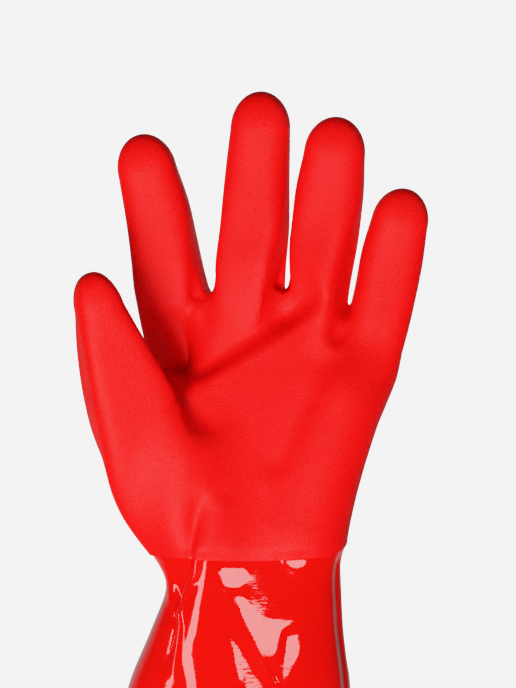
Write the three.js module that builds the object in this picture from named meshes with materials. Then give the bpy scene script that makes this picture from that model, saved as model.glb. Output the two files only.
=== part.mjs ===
// A household rubber glove for the left hand, shown as worn: palm to the front (-Y), fingers up (+Z) and
// thumb at -X. The smooth dipped cuff is one thin wall. The sandy hand is a second, thicker wall, and laps
// over the cuff's top. Both walls follow one form, which is a field: below 0 inside the glove's outer skin,
// above 0 outside it. Sizes are in millimetres, with the origin at the middle of the wrist.
import * as THREE from "three";

const cuffEnd = -110; // height of the cuff's cut end: the glove is 320 long, with its fingertip at +210
const coatThickness = 0.6; // the sandy coat alone, where it laps over the cuff
const lapGap = 0.3;
const cuffWall = 1.3;
const lapHeight = 10;
const lapEndGap = 0.4;
const handWall = coatThickness + lapGap + cuffWall; // flush inside with the cuff's tucked end
const cuffSkin = coatThickness + lapGap; // how far the cuff's outer face lies under the hand's

// The sandy coat ends in a line round the wrist, which climbs at the little finger's side.
const coatEdge = { height: 9.5, climb: 7.5, climbSpreadDegrees: 34, backRise: 3 };

// Arm and palm: the outline at each height, from the front (left, right) and from the side (front, back).
const bodyRows = [
  { z: -112, left: -60.5, right: 47.0, front: -42.0, back: 43.0 },
  { z: -80, left: -60.0, right: 44.5, front: -40.0, back: 41.0 },
  { z: -46, left: -54.4, right: 43.0, front: -36.5, back: 37.5 },
  { z: -21, left: -44.5, right: 40.6, front: -31.5, back: 33.0 },
  { z: 0, left: -36.5, right: 39.8, front: -28.0, back: 29.5 },
  { z: 17, left: -34.0, right: 39.6, front: -25.5, back: 27.0 },
  { z: 34, left: -37.0, right: 41.0, front: -23.0, back: 24.0 },
  { z: 52, left: -40.0, right: 45.6, front: -21.0, back: 22.0 },
  { z: 77, left: -43.5, right: 54.0, front: -17.5, back: 19.5 },
  { z: 95, left: -48.0, right: 60.5, front: -15.0, back: 17.5 },
  { z: 125, left: -49.0, right: 62.0, front: -13.0, back: 15.0 },
];
const bodySquareness = 2.3;
const bodyTop = { from: 90, length: 29 }; // the palm rounds off here under the fingers

// Each digit is a rounded tube along a straight axis. down: the distance from the tip, with the half width and
// half depth there, and how far the section's middle lies off the axis towards the little finger (side) and
// the back of the hand (rise).
const thumb = {
  tip: [-68.2, -45.0, 132.4],
  root: [-48.0, -19.5, 60.0],
  rollDegrees: 24,
  squareness: 2.7,
  capLength: 17,
  rootCap: { from: 106, length: 30 },
  rows: [
    { down: 16, halfWidth: 10.6, halfDepth: 10.4, side: -0.4, rise: 0 },
    { down: 34, halfWidth: 13.0, halfDepth: 11.8, side: -1.0, rise: 0.8 },
    { down: 56, halfWidth: 15.8, halfDepth: 13.6, side: -1.0, rise: 1.5 },
    { down: 76, halfWidth: 17.4, halfDepth: 15.0, side: 0.2, rise: 1.5 },
    { down: 98, halfWidth: 16.4, halfDepth: 15.0, side: 0.6, rise: 0.5 },
    { down: 118, halfWidth: 13.0, halfDepth: 13.2, side: 0.6, rise: 0 },
    { down: 145, halfWidth: 9.0, halfDepth: 10.0, side: 0, rise: 0 },
  ],
};
const fingers = [
  {
    // index
    tip: [-46.0, -1.0, 192.2],
    root: [-26.9, 6.0, 111.8],
    rollDegrees: 8,
    squareness: 2.3,
    capLength: 16,
    rootCap: { from: 96, length: 18 },
    rows: [
      { down: 16, halfWidth: 12.6, halfDepth: 11.2, side: -2.9, rise: 0 },
      { down: 34, halfWidth: 14.0, halfDepth: 12.0, side: -2.7, rise: 1.6 },
      { down: 52, halfWidth: 15.0, halfDepth: 12.6, side: -3.3, rise: 2.0 },
      { down: 70, halfWidth: 16.0, halfDepth: 13.0, side: -4.0, rise: 1.2 },
      { down: 110, halfWidth: 17.0, halfDepth: 13.0, side: -4.6, rise: 0 },
    ],
  },
  {
    // middle
    tip: [3.0, -9.0, 209.8],
    root: [0.2, -1.0, 120.4],
    rollDegrees: 0,
    squareness: 2.3,
    capLength: 16,
    rootCap: { from: 104, length: 16 },
    rows: [
      { down: 16, halfWidth: 13.0, halfDepth: 11.4, side: 0.7, rise: 0 },
      { down: 36, halfWidth: 13.6, halfDepth: 12.2, side: 0.1, rise: 1.8 },
      { down: 58, halfWidth: 14.5, halfDepth: 12.8, side: -0.5, rise: 2.2 },
      { down: 78, halfWidth: 15.3, halfDepth: 13.4, side: -2.3, rise: 1.2 },
      { down: 125, halfWidth: 15.5, halfDepth: 14.0, side: -2.5, rise: 0 },
    ],
  },
  {
    // ring
    tip: [35.0, -10.0, 199.1],
    root: [26.9, -2.0, 120.4],
    rollDegrees: -4,
    squareness: 2.3,
    capLength: 16,
    rootCap: { from: 98, length: 16 },
    rows: [
      { down: 16, halfWidth: 13.1, halfDepth: 11.4, side: 1.7, rise: 0 },
      { down: 34, halfWidth: 14.5, halfDepth: 12.2, side: 1.4, rise: 1.8 },
      { down: 52, halfWidth: 13.9, halfDepth: 12.6, side: 1.2, rise: 2.0 },
      { down: 72, halfWidth: 13.4, halfDepth: 13.0, side: 0.0, rise: 1.0 },
      { down: 118, halfWidth: 14.0, halfDepth: 13.5, side: -1.0, rise: 0 },
    ],
  },
  {
    // little
    tip: [65.1, -8.0, 168.1],
    root: [51.4, -1.0, 111.8],
    rollDegrees: -10,
    squareness: 2.3,
    capLength: 15,
    rootCap: { from: 78, length: 16 },
    rows: [
      { down: 15, halfWidth: 12.0, halfDepth: 10.4, side: 1.4, rise: 0 },
      { down: 30, halfWidth: 13.2, halfDepth: 11.2, side: 1.9, rise: 1.5 },
      { down: 46, halfWidth: 13.4, halfDepth: 11.8, side: 2.4, rise: 1.5 },
      { down: 62, halfWidth: 13.6, halfDepth: 12.2, side: 2.2, rise: 0.8 },
      { down: 98, halfWidth: 13.5, halfDepth: 12.0, side: 1.0, rise: 0 },
    ],
  },
];
// How far two neighbouring forms round into each other.
const blends = { betweenFingers: 2.2, fingersToPalm: 8, thumbToPalm: 13 };

// The heel of the hand under the little finger.
const heelMound = { from: [22, -10, 22], to: [38, -6, 76], radius: 14.5, blend: 16 };

// The ball of the thumb, which fills the palm between the thumb and the wrist.
const ballMound = { from: [-20, -13, 18], to: [-27, -13, 52], radius: 14.0, blend: 18 };

// Creases and folds. On the palm and the back "across" is x, and on the thumb's and the little finger's
// side it is y. A positive depth presses the skin in, and a negative one raises it.
const creases = [
  { side: "palm", from: { across: -30, z: 88 }, to: { across: 21, z: 115 }, depth: 3.0, width: 6.0 },
  { side: "palm", from: { across: -28, z: 103 }, to: { across: -14, z: 112 }, depth: 1.4, width: 3.4 },
  { side: "palm", from: { across: -17, z: 128 }, to: { across: -30, z: 99 }, depth: 3.2, width: 4.2 },
  { side: "palm", from: { across: 35, z: 103 }, to: { across: 5, z: 42 }, depth: 2.0, width: 6.0 },
  { side: "palm", from: { across: -33, z: 76 }, to: { across: -10, z: 60 }, depth: 2.4, width: 7.0 },
  { side: "palm", from: { across: -19, z: 42 }, to: { across: -27, z: 14 }, depth: 2.2, width: 6.0 },
  { side: "palm", from: { across: -28, z: 8 }, to: { across: -33, z: -13 }, depth: 4.4, width: 4.6 },
  { side: "thumb", from: { across: -14, z: 1 }, to: { across: -19, z: -11 }, depth: 1.8, width: 3.4 },
  { side: "palm", from: { across: -34, z: -13 }, to: { across: -38, z: -50 }, depth: 4.6, width: 5.4 },
  { side: "palm", from: { across: -38, z: -50 }, to: { across: -42, z: -86 }, depth: 2.2, width: 8.0 },
  { side: "palm", from: { across: -22, z: 4 }, to: { across: -25, z: -60 }, depth: -1.6, width: 5.0 },
  { side: "palm", from: { across: -6, z: -14 }, to: { across: 12, z: -52 }, depth: 1.6, width: 3.6 },
  { side: "palm", from: { across: 6, z: 2 }, to: { across: -3, z: -12 }, depth: 1.2, width: 4.0 },
  { side: "palm", from: { across: 8, z: -24 }, to: { across: 22, z: -62 }, depth: -1.4, width: 4.6 },
  { side: "little", from: { across: -12, z: 14 }, to: { across: -15, z: -58 }, depth: 1.5, width: 3.6 },
  { side: "little", from: { across: -2, z: 16 }, to: { across: 0, z: -40 }, depth: 2.0, width: 4.6 },
  { side: "little", from: { across: 10, z: 8 }, to: { across: 16, z: -54 }, depth: 1.6, width: 5.0 },
  { side: "thumb", from: { across: 12, z: 6 }, to: { across: 18, z: -60 }, depth: 2.6, width: 6.0 },
  { side: "back", from: { across: -20, z: 12 }, to: { across: 22, z: 2 }, depth: 1.8, width: 5.0 },
  { side: "back", from: { across: 26, z: -2 }, to: { across: -12, z: -20 }, depth: 1.7, width: 5.0 },
  { side: "back", from: { across: -30, z: -8 }, to: { across: 8, z: -40 }, depth: 1.5, width: 6.0 },
];
const sideFacing = { palm: [0, -1], back: [0, 1], thumb: [-1, 0], little: [1, 0] };

// How many faces go round and along each stretch.
const perFinger = 5; // across each finger's palm side, and again across its back
const throughDepth = 4; // down each web between two fingers, and down the hand's outer sides
const thumbWeb = throughDepth + 2; // down the web between the thumb and the palm
const roundThumb = 12; // round the thumb's outer side, from web to web
const lowerRows = 8;
const upperRows = 7;
const fingerRows = 8;
const thumbRows = 8;
const capRows = 4;
const rootTurn = 0.6; // the share of a digit over which its root ring turns square to it
const cuffRowHeights = 7.2;
const relaxRounds = 34;

const degrees = Math.PI / 180;
const clamp = (x, low, high) => Math.min(high, Math.max(low, x));
const mix = (a, b, t) => a + (b - a) * t;
const mixPoints = (a, b, t) => a.map((x, i) => mix(x, b[i], t));
const smooth = (t) => t * t * (3 - 2 * t);
const dot = (a, b) => a[0] * b[0] + a[1] * b[1] + a[2] * b[2];
const cross = (a, b) => [
  a[1] * b[2] - a[2] * b[1],
  a[2] * b[0] - a[0] * b[2],
  a[0] * b[1] - a[1] * b[0],
];
const add = (a, b, scale = 1) => a.map((x, i) => x + b[i] * scale);
const unit = (a) => a.map((x) => x / Math.hypot(...a));

// A smooth curve through one column of a table, read at a value of its key column.
function readColumn(rows, key, column, at) {
  const last = rows.length - 1;
  const x = clamp(at, rows[0][key], rows[last][key]);
  let i = 0;
  while (i < last - 1 && x > rows[i + 1][key]) i++;
  const slope = (k) => {
    const a = rows[Math.max(k - 1, 0)];
    const b = rows[Math.min(k + 1, last)];
    return (b[column] - a[column]) / (b[key] - a[key]);
  };
  const width = rows[i + 1][key] - rows[i][key];
  const t = (x - rows[i][key]) / width;
  const ease = smooth(t);
  return (
    mix(rows[i][column], rows[i + 1][column], ease) +
    width * t * (1 - t) * ((1 - t) * slope(i) - t * slope(i + 1))
  );
}

// Distance to a tube of squared-off oval section, rounded like half an egg past the start of its cap.
function sectionDistance(offsets, halves, squareness, pastCap, capLength) {
  const terms = offsets.map((x, i) => Math.abs(x / halves[i]) ** squareness);
  const sum = Math.max(terms[0] + terms[1], 1e-9);
  const oval = sum ** (1 / squareness);
  const slopes = offsets.map((x, i) => (terms[i] / sum) * (oval / Math.max(Math.abs(x), 1e-6)));
  const cap = pastCap / capLength;
  const share = Math.hypot(oval, cap);
  const steepness = Math.hypot(oval * slopes[0], oval * slopes[1], cap / capLength) / share;
  return (share - 1) / Math.max(steepness, 1e-4);
}

for (const digit of [thumb, ...fingers]) {
  const up = unit(add(digit.tip, digit.root, -1));
  const backward = [Math.sin(digit.rollDegrees * degrees), Math.cos(digit.rollDegrees * degrees), 0];
  digit.up = up;
  digit.back = unit(add(backward, up, -dot(backward, up)));
  digit.across = cross(digit.back, up);
}

function digitSection(digit, down) {
  const column = (name) => readColumn(digit.rows, "down", name, down);
  return {
    middle: add(
      add(add(digit.tip, digit.up, -down), digit.across, column("side")),
      digit.back,
      column("rise"),
    ),
    halfWidth: column("halfWidth"),
    halfDepth: column("halfDepth"),
  };
}

function digitDistance(digit, point) {
  const down = dot(add(digit.tip, point, -1), digit.up);
  const { middle, halfWidth, halfDepth } = digitSection(digit, down);
  const off = add(point, middle, -1);
  const { from, length } = digit.rootCap;
  const beyondTip = Math.max(digit.capLength - down, 0);
  const beyondRoot = Math.max(down - from, 0);
  return sectionDistance(
    [dot(off, digit.across), dot(off, digit.back)],
    [halfWidth, halfDepth],
    digit.squareness,
    beyondTip + beyondRoot,
    beyondTip > 0 ? digit.capLength : length,
  );
}

function bodySection(z) {
  const column = (name) => readColumn(bodyRows, "z", name, z);
  const [left, right, front, back] = ["left", "right", "front", "back"].map(column);
  return {
    middle: [(left + right) / 2, (front + back) / 2],
    halves: [(right - left) / 2, (back - front) / 2],
  };
}

function bodyDistance([x, y, z]) {
  const { middle, halves } = bodySection(z);
  const past = Math.max(z - bodyTop.from, 0);
  return sectionDistance([x - middle[0], y - middle[1]], halves, bodySquareness, past, bodyTop.length);
}

function distanceToLine(point, from, to) {
  const along = add(to, from, -1);
  const t = clamp(dot(add(point, from, -1), along) / dot(along, along), 0, 1);
  return Math.hypot(...add(point, add(from, along, t), -1));
}

function roundedUnion(a, b, blend) {
  const overlap = Math.max(blend - Math.abs(a - b), 0);
  return Math.min(a, b) - (overlap * overlap) / (4 * blend);
}

function creaseDepth([x, y, z]) {
  const { middle, halves } = bodySection(z);
  const facing = unit([(x - middle[0]) / halves[0], (y - middle[1]) / halves[1]]);
  let depth = 0;
  for (const crease of creases) {
    const [faceX, faceY] = sideFacing[crease.side];
    const share = clamp((facing[0] * faceX + facing[1] * faceY) / 0.6, 0, 1);
    if (share === 0) continue;
    const across = faceX === 0 ? x : y;
    const away = distanceToLine(
      [across, z, 0],
      [crease.from.across, crease.from.z, 0],
      [crease.to.across, crease.to.z, 0],
    );
    depth += crease.depth * smooth(share) * Math.exp(-((away / crease.width) ** 2));
  }
  return depth;
}

// The glove's whole form: its value is the distance outside the outer skin, and is negative inside.
function gloveField(point) {
  const allFingers = fingers
    .map((finger) => digitDistance(finger, point))
    .reduce((a, b) => roundedUnion(a, b, blends.betweenFingers));
  let field = roundedUnion(bodyDistance(point), allFingers, blends.fingersToPalm);
  field = roundedUnion(field, digitDistance(thumb, point), blends.thumbToPalm);
  for (const { from, to, radius, blend } of [heelMound, ballMound]) {
    field = roundedUnion(field, distanceToLine(point, from, to) - radius, blend);
  }
  return field + creaseDepth(point);
}

function fieldSlope(point) {
  const step = 0.15;
  return [0, 1, 2].map((i) => {
    const offset = [0, 0, 0];
    offset[i] = step;
    return (gloveField(add(point, offset)) - gloveField(add(point, offset, -1))) / (2 * step);
  });
}

// Moves a point onto the skin at a depth below the outer face. A level point keeps its height.
function ontoSkin(point, depth, level, steps = 10) {
  let p = point;
  for (let i = 0; i < steps; i++) {
    const error = gloveField(p) + depth;
    if (Math.abs(error) < 1e-4) break;
    const slope = fieldSlope(p);
    if (level) slope[2] = 0;
    const size = Math.max(dot(slope, slope), 0.05);
    p = add(p, slope, clamp(-error / size, -3, 3));
  }
  return p;
}

// The skin's net of points and four-sided faces, shared by the outer and inner faces of both walls.
class Net {
  points = [];
  held = []; // the points of the lap, which stay in their level rings
  faces = [];

  point(position, held = false) {
    this.held.push(held);
    return this.points.push(position) - 1;
  }

  // Faces between two rings, or two open rows, of as many points. group tells the stretch they belong to.
  strip(low, high, closed, group = "skin") {
    const count = closed ? low.length : low.length - 1;
    for (let i = 0; i < count; i++) {
      const next = (i + 1) % low.length;
      this.faces.push({ corners: [low[i], low[next], high[next], high[i]], group });
    }
  }

  neighbours() {
    const near = this.points.map(() => new Set());
    for (const { corners } of this.faces) {
      corners.forEach((a, i) => {
        const b = corners[(i + 1) % corners.length];
        near[a].add(b);
        near[b].add(a);
      });
    }
    return near.map((set) => [...set]);
  }

  // Cuts each four-sided face along the diagonal that lies closest to the skin, which is corner 0 to corner 2.
  turnFaces() {
    const off = (corners, a, b) =>
      Math.abs(gloveField(mixPoints(this.points[corners[a]], this.points[corners[b]], 0.5)));
    for (const face of this.faces) {
      const { corners, group } = face;
      if (corners.length < 4 || group === "lap") continue;
      if (off(corners, 1, 3) < off(corners, 0, 2)) face.corners = [...corners.slice(1), corners[0]];
    }
  }

  // Evens out the net along the skin, then puts it back on the skin.
  relax(rounds) {
    const near = this.neighbours();
    for (let round = 0; round < rounds; round++) {
      this.points = this.points.map((p, i) => {
        if (this.held[i]) return p;
        const middle = near[i].reduce((sum, k) => add(sum, this.points[k], 1 / near[i].length), [0, 0, 0]);
        return ontoSkin(mixPoints(p, middle, 0.5), 0, false, 3);
      });
    }
  }
}

// Points round the arm and palm lie at these angles of a flat oval, in degrees from the little finger's side:
// angle at the wrist, and topAngle where the thumb leaves.
const anchorColumns = [
  { angle: -134, topAngle: -128 }, // palm side of the thumb web
  { angle: -20, topAngle: -34 }, // palm side under the little finger
  { angle: 20, topAngle: 34 }, // back of the hand under the little finger
  { angle: 134, topAngle: 132 }, // back of the thumb web
  { angle: 226, topAngle: 232 }, // palm side of the thumb web again
];
// Columns from each anchor to the next.
const columnRuns = [4 * perFinger - 1, throughDepth, 4 * perFinger - 1, roundThumb];
const ovalStretch = 1.6;
const lowerColumns = columnRuns.reduce((a, b) => a + b);

function columnAngles(share) {
  const angles = [];
  columnRuns.forEach((count, run) => {
    const [a, b] = [anchorColumns[run], anchorColumns[run + 1]];
    for (let i = 0; i < count; i++) {
      const t = i / count;
      angles.push(mix(mix(a.angle, a.topAngle, share), mix(b.angle, b.topAngle, share), t));
    }
  });
  return angles;
}

// The skin along a level ray from the body's middle.
function pointAtAngle(angle, z, centre) {
  const direction = unit([ovalStretch * Math.cos(angle * degrees), Math.sin(angle * degrees), 0]);
  let near = 5;
  let far = 5;
  while (far < 90 && gloveField(add([...centre, z], direction, far)) < 0) {
    near = far;
    far += 3;
  }
  for (let i = 0; i < 24; i++) {
    const middle = (near + far) / 2;
    if (gloveField(add([...centre, z], direction, middle)) < 0) near = middle;
    else far = middle;
  }
  return add([...centre, z], direction, near);
}

function edgeHeight(angle) {
  const turn = ((angle + 540) % 360) - 180;
  const climb = coatEdge.climb * Math.exp(-((turn / coatEdge.climbSpreadDegrees) ** 2));
  return coatEdge.height + climb + coatEdge.backRise * (0.5 + 0.5 * Math.sin(angle * degrees));
}

// The thumb leaves the palm over a sloping ring, which is highest at the web. webAt: how far the web lies
// towards the thumb's side, as a cosine.
const splitRing = { web: 74, thumbSide: 62, littleSide: 66, webAt: -0.76 };

function splitRingHeight(angle) {
  const { web, thumbSide, littleSide, webAt } = splitRing;
  const turn = Math.cos(angle * degrees);
  if (turn < webAt) return mix(web, thumbSide, (webAt - turn) / (1 + webAt));
  return mix(web, littleSide, smooth((turn - webAt) / (1 - webAt)));
}

// The rings are drawn round the wrist's middle at the bottom, and round this point where the thumb leaves.
const splitCentre = [-8, -6];
const ringCentre = (share) => mixPoints([0, 0], splitCentre, share);

function buildHandNet() {
  const net = new Net();
  // The ring at the coat's edge, the ring at the lap's top, and the rings up to where the thumb leaves.
  const rings = [];
  for (let row = 0; row <= lowerRows; row++) {
    const share = row === 0 ? 0 : (row - 1) / (lowerRows - 1);
    rings.push(
      columnAngles(share).map((angle, column) => {
        const low = edgeHeight(columnAngles(0)[column]);
        const z = row === 0 ? low : mix(low + lapHeight, splitRingHeight(angle), share);
        const point = pointAtAngle(angle, z, ringCentre(share));
        return net.point(point, row < 2);
      }),
    );
    if (row > 0) net.strip(rings[row - 1], rings[row], true, row === 1 ? "lap" : "skin");
  }
  const split = rings[lowerRows];
  const thumbStart = lowerColumns - roundThumb;
  const palmHalf = split.slice(0, thumbStart + 1);
  const thumbHalf = [...split.slice(thumbStart), split[0]];
  // The web between thumb and palm runs from the palm side to the back.
  const web = [];
  for (let i = 1; i < thumbWeb; i++) {
    const t = i / thumbWeb;
    const point = mixPoints(net.points[split[0]], net.points[split[thumbStart]], t);
    web.push(net.point(add(point, [0, 0, 1], 4 * Math.sin(Math.PI * t))));
  }
  return { net, rings, palmHalf, thumbHalf, web };
}

// Where the fingers leave the palm: the hand's two outer sides and the three webs between, with how far
// front and back each reaches.
const fingerRoots = [
  { x: -43, z: 108, front: -7, back: 17 },
  { x: -17.6, z: 123, front: -7, back: 13 },
  { x: 15.0, z: 123, front: -9, back: 10 },
  { x: 41.4, z: 112, front: -9, back: 9 },
  { x: 63.5, z: 98, front: -10, back: 9 },
];

function buildUpperPalm({ net, palmHalf, web }) {
  // The ring starts at the palm's corner under the index finger, which is the last point of the thumb web.
  const bottom = [web[0], ...palmHalf, ...web.slice(1).reverse()];
  const palmSide = [];
  const backSide = [];
  for (let finger = 0; finger < 4; finger++) {
    const [a, b] = [fingerRoots[finger], fingerRoots[finger + 1]];
    for (let i = 0; i < perFinger + (finger === 3 ? 1 : 0); i++) {
      const t = i / perFinger;
      const [x, z] = [mix(a.x, b.x, t), mix(a.z, b.z, t)];
      const bulge = 5 * Math.sin(Math.PI * t);
      palmSide.push([x, mix(a.front, b.front, t) - bulge, z]);
      backSide.push([x, mix(a.back, b.back, t) + bulge, z - 3]);
    }
  }
  const between = (a, b, lift) =>
    Array.from({ length: throughDepth - 1 }, (_, i) => {
      const t = (i + 1) / throughDepth;
      return add(mixPoints(a, b, t), lift, Math.sin(Math.PI * t));
    });
  const last = 4 * perFinger;
  const top = [
    ...palmSide,
    ...between(palmSide[last], backSide[last], [5, 0, 0]),
    ...backSide.reverse(),
    ...between(backSide[last], palmSide[0], [-5, 0, 0]),
  ];
  const rings = [bottom];
  for (let row = 1; row <= upperRows; row++) {
    const t = row / upperRows;
    rings.push(
      top.map((end, i) => {
        const start = net.points[bottom[i]];
        return net.point(ontoSkin(mixPoints(start, end, t), 0, false));
      }),
    );
    net.strip(rings[row - 1], rings[row], true);
  }
  return rings[upperRows];
}

// A digit's tube from its root ring to its rounded tip. angles: each ring point's place round its section.
function buildDigit(net, digit, rootRing, angles, rows) {
  let below = rootRing;
  const start = rootRing.map((i) => net.points[i]);
  const startDown = start.map((from) => dot(add(digit.tip, from, -1), digit.up));
  const section = (down, shrink, i) => {
    const { middle, halfWidth, halfDepth } = digitSection(digit, down);
    const [c, s] = [Math.cos(angles[i] * degrees), Math.sin(angles[i] * degrees)];
    return add(add(middle, digit.across, halfWidth * shrink * c), digit.back, halfDepth * shrink * s);
  };
  for (let row = 1; row <= rows; row++) {
    const share = row / rows;
    const turned = smooth(clamp(share / rootTurn, 0, 1));
    const ring = start.map((from, i) => {
      const down = mix(startDown[i], digit.capLength, share);
      const carried = add(from, digit.up, startDown[i] - down);
      return net.point(ontoSkin(mixPoints(carried, section(down, 1, i), turned), 0, false));
    });
    net.strip(below, ring, true);
    below = ring;
  }
  for (let row = 1; row < capRows; row++) {
    const turn = (row / capRows) * 90 * degrees;
    const ring = start.map((_, i) =>
      net.point(ontoSkin(section(digit.capLength * (1 - Math.sin(turn)), Math.cos(turn), i), 0, false)),
    );
    net.strip(below, ring, true);
    below = ring;
  }
  const pole = net.point(ontoSkin(section(0, 0, 0), 0, false));
  below.forEach((corner, i) => {
    net.faces.push({ corners: [corner, below[(i + 1) % below.length], pole], group: "skin" });
  });
}

// Angles round a digit, run by run, each run ending where the next begins.
function ringAngles(runs) {
  return runs.flatMap(({ count, from, to }) =>
    Array.from({ length: count }, (_, i) => mix(from, to, i / count)),
  );
}

function buildHand() {
  const lower = buildHandNet();
  const { net, thumbHalf, web } = lower;
  const knuckles = buildUpperPalm(lower);
  const last = 4 * perFinger;
  const backStart = last + throughDepth;
  const palmPoint = (i) => knuckles[i];
  const backPoint = (i) => knuckles[backStart + last - i];
  // Webs between the fingers, and the hand's two outer sides, each from the palm side to the back.
  const sides = fingerRoots.map((root, i) => {
    if (i === 0) return knuckles.slice(backStart + last + 1).reverse();
    if (i === 4) return knuckles.slice(last + 1, backStart);
    const [a, b] = [palmPoint(i * perFinger), backPoint(i * perFinger)].map((k) => net.points[k]);
    return Array.from({ length: throughDepth - 1 }, (_, k) => {
      const t = (k + 1) / throughDepth;
      return net.point(ontoSkin(add(mixPoints(a, b, t), [0, 0, 1], 2 * Math.sin(Math.PI * t)), 0, false));
    });
  });
  const fingerAngles = ringAngles([
    { count: perFinger, from: -142, to: -38 },
    { count: throughDepth, from: -38, to: 38 },
    { count: perFinger, from: 38, to: 142 },
    { count: throughDepth, from: 142, to: 218 },
  ]);
  fingers.forEach((finger, i) => {
    const span = Array.from({ length: perFinger + 1 }, (_, k) => i * perFinger + k);
    const ring = [
      ...span.map(palmPoint),
      ...sides[i + 1],
      ...span.map(backPoint).reverse(),
      ...[...sides[i]].reverse(),
    ];
    buildDigit(net, finger, ring, fingerAngles, fingerRows);
  });
  // Round the thumb, the web faces the palm, and the rest goes from the back, round the outside, to the front.
  const thumbAngles = ringAngles([
    { count: roundThumb, from: 58, to: 302 },
    { count: thumbWeb, from: 302, to: 418 },
  ]);
  buildDigit(net, thumb, [...thumbHalf, ...web], thumbAngles, thumbRows);
  net.relax(relaxRounds);
  net.turnFaces();
  return { net, lower };
}

// Triangles of a solid, gathered face by face.
class Solid {
  positions = [];

  triangle(a, b, c) {
    this.positions.push(...a, ...b, ...c);
  }

  // A face is cut along the same diagonal on both sides of a wall.
  face([first, ...rest], inward = false) {
    const round = inward ? rest.reverse() : rest;
    for (let i = 1; i < round.length; i++) this.triangle(first, round[i - 1], round[i]);
  }

  strip(low, high, inward = false) {
    low.forEach((point, i) => {
      const next = (i + 1) % low.length;
      this.face([point, low[next], high[next], high[i]], inward);
    });
  }

  mesh(name, finish) {
    const geometry = new THREE.BufferGeometry();
    geometry.setAttribute("position", new THREE.Float32BufferAttribute(this.positions, 3));
    geometry.computeVertexNormals();
    const mesh = new THREE.Mesh(geometry, new THREE.MeshStandardMaterial(finish));
    mesh.name = name;
    return mesh;
  }
}

function sandyHand({ net, lower }) {
  const outer = net.points;
  const inner = net.points.map((p, i) => ontoSkin(p, handWall, net.held[i]));
  const [edge, lapTop] = [lower.rings[0], lower.rings[1]];
  const under = new Map([...edge, ...lapTop].map((i) => [i, ontoSkin(outer[i], coatThickness, true)]));
  const solid = new Solid();
  for (const { corners, group } of net.faces) {
    solid.face(corners.map((i) => outer[i]));
    solid.face(corners.map((i) => (group === "lap" ? under.get(i) : inner[i])), true);
  }
  solid.strip(edge.map((i) => under.get(i)), edge.map((i) => outer[i]));
  solid.strip(lapTop.map((i) => inner[i]), lapTop.map((i) => under.get(i)));
  return solid.mesh("sandy_hand", { color: 0xd8151b, roughness: 0.75, metalness: 0 });
}

function glossyCuff({ net, lower }) {
  const angles = columnAngles(0);
  const edge = lower.rings[0].map((i) => net.points[i]);
  const lapTop = lower.rings[1].map((i) => net.points[i]);
  const rows = Math.ceil((coatEdge.height - cuffEnd) / cuffRowHeights);
  const rings = [lapTop, edge];
  for (let row = 1; row <= rows; row++) {
    rings.push(
      angles.map((angle, i) => pointAtAngle(angle, mix(edge[i][2], cuffEnd, row / rows), ringCentre(0))),
    );
  }
  const at = (depth) => {
    const [top, ...rest] = rings.map((ring) => ring.map((p) => ontoSkin(p, depth, true)));
    return [top.map((p, i) => mixPoints(p, rest[0][i], lapEndGap / lapHeight)), ...rest];
  };
  const outer = at(cuffSkin);
  const inner = at(cuffSkin + cuffWall);
  const solid = new Solid();
  for (let row = 1; row < rings.length; row++) {
    solid.strip(outer[row], outer[row - 1]);
    solid.strip(inner[row], inner[row - 1], true);
  }
  solid.strip(outer[0], inner[0]);
  solid.strip(inner[rings.length - 1], outer[rings.length - 1]);
  return solid.mesh("glossy_cuff", { color: 0xcf0a0c, roughness: 0.12, metalness: 0 });
}

const hand = buildHand();
const glove = new THREE.Group();
glove.add(sandyHand(hand), glossyCuff(hand));

export default glove;
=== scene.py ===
# A household rubber glove for the left hand, as worn: palm to the camera, fingers up and thumb at -X.
# The sandy hand and the glossy cuff follow one form, a field that gives a point's distance outside the skin.
# The form is worked out in millimetres, and the meshes are in metres.
import math
import bpy
import numpy as np
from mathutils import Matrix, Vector


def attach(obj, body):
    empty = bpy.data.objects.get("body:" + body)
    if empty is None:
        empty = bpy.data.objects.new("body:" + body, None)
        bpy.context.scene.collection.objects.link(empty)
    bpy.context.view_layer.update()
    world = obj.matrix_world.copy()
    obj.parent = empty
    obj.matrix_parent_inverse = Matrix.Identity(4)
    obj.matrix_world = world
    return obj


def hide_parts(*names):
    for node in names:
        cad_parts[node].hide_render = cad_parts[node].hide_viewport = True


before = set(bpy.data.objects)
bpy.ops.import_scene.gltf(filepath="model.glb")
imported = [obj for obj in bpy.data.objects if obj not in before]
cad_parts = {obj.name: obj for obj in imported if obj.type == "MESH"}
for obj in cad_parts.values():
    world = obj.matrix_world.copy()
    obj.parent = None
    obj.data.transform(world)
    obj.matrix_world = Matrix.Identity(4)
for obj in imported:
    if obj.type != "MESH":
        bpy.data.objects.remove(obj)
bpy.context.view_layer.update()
mm = 0.001


def mix(a, b, share):  # a + (b - a) share
    return a + (b - a) * share


def smooth(t):  # 3 t^2 - 2 t^3
    return t * t * (3 - 2 * t)


def rise(x, low, high):  # 0 below low, 1 above high, and an ease between
    return smooth(np.clip((x - low) / (high - low), 0, 1))


def halfSine(t):  # sin(pi t), which is 0 at both ends
    return np.sin(np.pi * t)


def unit(v):  # each vector over its own length
    return v / np.linalg.norm(v, axis=-1, keepdims=True)


def steps(count):  # a column of 1 / count, 2 / count and so on, up to 1
    return np.arange(1, count + 1)[:, None] / count


def makeTable(columns, *rows):  # named columns, the first of which is the key
    return dict(zip(columns.split(), np.array(rows, float).T))


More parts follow.
